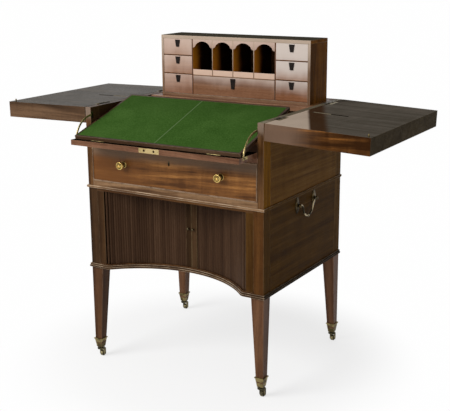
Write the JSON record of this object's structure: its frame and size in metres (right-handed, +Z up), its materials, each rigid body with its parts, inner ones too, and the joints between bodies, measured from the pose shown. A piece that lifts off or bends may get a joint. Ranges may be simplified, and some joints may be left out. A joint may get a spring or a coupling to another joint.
{
  "type": "captains desk",
  "caption": "Wooden captain's desk standing open: folding top lids, rising nest of drawers, sloping baize writing board, long drawer and tambour cupboard on caster legs.",
  "frame": {"origin": "middle of the footprint of the open desk's bounding box, on the floor", "axes": "+X to the right of someone sitting at the desk, along the open lids; +Y away from them, towards the back; +Z up"},
  "size_m": [1.2737, 0.6337, 1.0374],
  "materials": {
    "mahogany": "polished, reddish brown",
    "dark_mahogany": "polished, very dark brown",
    "drawer_wood": "polished, pinkish brown",
    "oak": "unpolished secondary wood",
    "brass": "aged, lacquered",
    "baize": "napped green wool cloth"
  },
  "bodies": {
    "carcass": {"legs_front": "mahogany", "legs_back": "mahogany", "leg_caps": "brass", "side_left": "mahogany", "side_right": "mahogany", "back_panel": "oak", "base_board": "oak", "dust_board": "oak", "front_stiles": "mahogany", "drawer_rails": "mahogany", "drawer_runners": "oak", "well_floor": "oak", "well_wall": "oak", "deck_rails": "mahogany", "nest_guides": "oak", "base_moulding": "mahogany", "waist_moulding": "mahogany", "lid_hinges": "brass", "fall_brackets": "brass", "handle_backplates": "brass"},
    "lid_left": {"lid_left": "mahogany", "lid_fittings_left": "brass"},
    "lid_right": {"lid_right": "mahogany", "lid_fittings_right": "brass"},
    "fall": {"fall_front": "mahogany", "fall_lock": "brass", "fall_stays": "brass", "slope_hinges": "brass"},
    "slope": {"slope_board": "mahogany", "slope_baize": "baize"},
    "prop": {"slope_prop": "mahogany"},
    "nest": {"nest_case": "mahogany", "nest_partitions": "mahogany", "nest_arches": "mahogany", "nest_lips": "mahogany"},
    "main_drawer": {"main_drawer_front": "mahogany", "main_drawer_beading": "mahogany", "main_drawer_box": "oak", "main_drawer_knobs": "brass"},
    "nest_drawer_centre": {"nest_drawer_centre": "drawer_wood"},
    "tambour_left": {"tambour_stile_left": "mahogany", "tambour_curtain_left": "dark_mahogany"},
    "handle_left": {"side_handle_left": "brass"},
    "nest_drawer_left_lower": {"nest_drawer_left_lower": "drawer_wood"},
    "nest_drawer_left_middle": {"nest_drawer_left_middle": "drawer_wood"},
    "nest_drawer_left_upper": {"nest_drawer_left_upper": "drawer_wood"},
    "caster_front_left": {"caster_fork_front_left": "brass"},
    "wheel_front_left": {"caster_wheel_front_left": "brass"},
    "caster_back_left": {"caster_fork_back_left": "brass"},
    "wheel_back_left": {"caster_wheel_back_left": "brass"},
    "tambour_right": {"tambour_stile_right": "mahogany", "tambour_curtain_right": "dark_mahogany"},
    "handle_right": {"side_handle_right": "brass"},
    "nest_drawer_right_lower": {"nest_drawer_right_lower": "drawer_wood"},
    "nest_drawer_right_middle": {"nest_drawer_right_middle": "drawer_wood"},
    "nest_drawer_right_upper": {"nest_drawer_right_upper": "drawer_wood"},
    "caster_front_right": {"caster_fork_front_right": "brass"},
    "wheel_front_right": {"caster_wheel_front_right": "brass"},
    "caster_back_right": {"caster_fork_back_right": "brass"},
    "wheel_back_right": {"caster_wheel_back_right": "brass"}
  },
  "joints": [
    {"name": "nest_lift", "type": "slide", "parent": "carcass", "child": "nest", "axis": [0, 0, 1], "range_m": [-0.218, 0]},
    {"name": "lid_left_hinge", "type": "hinge", "parent": "carcass", "child": "lid_left", "pos_m": [-0.3187, 0.04795, 0.83915], "axis": [0, 1, 0], "range_deg": [0, 180.9]},
    {"name": "lid_right_hinge", "type": "hinge", "parent": "carcass", "child": "lid_right", "pos_m": [0.3187, 0.04795, 0.83915], "axis": [0, 1, 0], "range_deg": [-182.3, 0]},
    {"name": "fall_hinge", "type": "hinge", "parent": "carcass", "child": "fall", "pos_m": [0, -0.21595, 0.738], "axis": [1, 0, 0], "range_deg": [-90, 0]},
    {"name": "slope_hinge", "type": "hinge", "parent": "fall", "child": "slope", "pos_m": [0, -0.30055, 0.754], "axis": [1, 0, 0], "range_deg": [0, 73]},
    {"name": "prop_hinge", "type": "hinge", "parent": "slope", "child": "prop", "pos_m": [0, -0.11726, 0.80606], "axis": [1, 0, 0], "range_deg": [-73, 0]},
    {"name": "main_drawer_slide", "type": "slide", "parent": "carcass", "child": "main_drawer", "axis": [0, -1, 0], "range_m": [0, 0.26]},
    {"name": "nest_drawer_centre_slide", "type": "slide", "parent": "nest", "child": "nest_drawer_centre", "axis": [0, -1, 0], "range_m": [0, 0.085]},
    {"name": "nest_drawer_left_lower_slide", "type": "slide", "parent": "nest", "child": "nest_drawer_left_lower", "axis": [0, -1, 0], "range_m": [0, 0.085]},
    {"name": "nest_drawer_left_middle_slide", "type": "slide", "parent": "nest", "child": "nest_drawer_left_middle", "axis": [0, -1, 0], "range_m": [0, 0.085]},
    {"name": "nest_drawer_left_upper_slide", "type": "slide", "parent": "nest", "child": "nest_drawer_left_upper", "axis": [0, -1, 0], "range_m": [0, 0.085]},
    {"name": "tambour_left_slide", "type": "hinge", "parent": "carcass", "child": "tambour_left", "pos_m": [0, -0.45202, 0.462], "axis": [0, 0, 1], "range_deg": [0, 38], "deforming": ["tambour_curtain_left"]},
    {"name": "handle_left_hinge", "type": "hinge", "parent": "carcass", "child": "handle_left", "pos_m": [-0.327, 0.05295, 0.555], "axis": [0, 1, 0], "range_deg": [0, 100]},
    {"name": "caster_front_left_swivel", "type": "hinge", "parent": "carcass", "child": "caster_front_left", "pos_m": [-0.305, -0.20345, 0.036], "axis": [0, 0, 1], "continuous": true},
    {"name": "wheel_front_left_spin", "type": "hinge", "parent": "caster_front_left", "child": "wheel_front_left", "pos_m": [-0.305, -0.19545, 0.0095], "axis": [1, 0, 0], "continuous": true},
    {"name": "caster_back_left_swivel", "type": "hinge", "parent": "carcass", "child": "caster_back_left", "pos_m": [-0.305, 0.29935, 0.036], "axis": [0, 0, 1], "continuous": true},
    {"name": "wheel_back_left_spin", "type": "hinge", "parent": "caster_back_left", "child": "wheel_back_left", "pos_m": [-0.305, 0.30735, 0.0095], "axis": [1, 0, 0], "continuous": true},
    {"name": "nest_drawer_right_lower_slide", "type": "slide", "parent": "nest", "child": "nest_drawer_right_lower", "axis": [0, -1, 0], "range_m": [0, 0.085]},
    {"name": "nest_drawer_right_middle_slide", "type": "slide", "parent": "nest", "child": "nest_drawer_right_middle", "axis": [0, -1, 0], "range_m": [0, 0.085]},
    {"name": "nest_drawer_right_upper_slide", "type": "slide", "parent": "nest", "child": "nest_drawer_right_upper", "axis": [0, -1, 0], "range_m": [0, 0.085]},
    {"name": "tambour_right_slide", "type": "hinge", "parent": "carcass", "child": "tambour_right", "pos_m": [0, -0.45202, 0.462], "axis": [0, 0, 1], "range_deg": [-38, 0], "deforming": ["tambour_curtain_right"]},
    {"name": "handle_right_hinge", "type": "hinge", "parent": "carcass", "child": "handle_right", "pos_m": [0.327, 0.05295, 0.555], "axis": [0, 1, 0], "range_deg": [-100, 0]},
    {"name": "caster_front_right_swivel", "type": "hinge", "parent": "carcass", "child": "caster_front_right", "pos_m": [0.305, -0.20345, 0.036], "axis": [0, 0, 1], "continuous": true},
    {"name": "wheel_front_right_spin", "type": "hinge", "parent": "caster_front_right", "child": "wheel_front_right", "pos_m": [0.305, -0.19545, 0.0095], "axis": [1, 0, 0], "continuous": true},
    {"name": "caster_back_right_swivel", "type": "hinge", "parent": "carcass", "child": "caster_back_right", "pos_m": [0.305, 0.29935, 0.036], "axis": [0, 0, 1], "continuous": true},
    {"name": "wheel_back_right_spin", "type": "hinge", "parent": "caster_back_right", "child": "wheel_back_right", "pos_m": [0.305, 0.30735, 0.0095], "axis": [1, 0, 0], "continuous": true}
  ],
  "couplings": [
    {"joint": "lid_left_hinge", "follows": "nest_lift", "rad_per_m": -14.483},
    {"joint": "lid_right_hinge", "follows": "nest_lift", "rad_per_m": 14.595},
    {"joint": "fall_hinge", "follows": "nest_lift", "rad_per_m": 7.2055},
    {"joint": "slope_hinge", "follows": "nest_lift", "rad_per_m": -5.8445},
    {"joint": "prop_hinge", "follows": "nest_lift", "rad_per_m": 5.8445}
  ]
}
